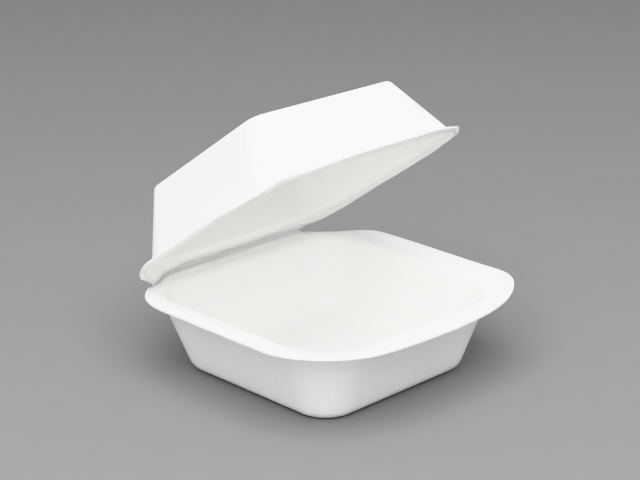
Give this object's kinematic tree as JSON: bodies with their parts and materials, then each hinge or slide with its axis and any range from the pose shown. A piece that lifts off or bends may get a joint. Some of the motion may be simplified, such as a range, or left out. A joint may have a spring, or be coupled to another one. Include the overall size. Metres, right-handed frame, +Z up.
{
  "type": "foam clamshell container",
  "caption": "White foam takeaway box: a square tapered tray with a wide rim and a shallower lid on a fold at the back, standing part open.",
  "frame": {"origin": "centre of the tray's underside, on the table", "axes": "+Z up; the hinge fold runs along X at the back (+Y) and the open front of the lid faces -Y"},
  "size_m": [0.15, 0.1504, 0.1332],
  "materials": {
    "foam": "matte, smooth foam skin"
  },
  "bodies": {
    "base": {"base": "foam"},
    "lid": {"lid": "foam"}
  },
  "joints": [
    {"name": "lid_hinge", "type": "hinge", "parent": "base", "child": "lid", "pos_m": [0, 0.067, 0.0415], "axis": [-1, 0, 0], "range_deg": [-35.2, 144.8]}
  ]
}
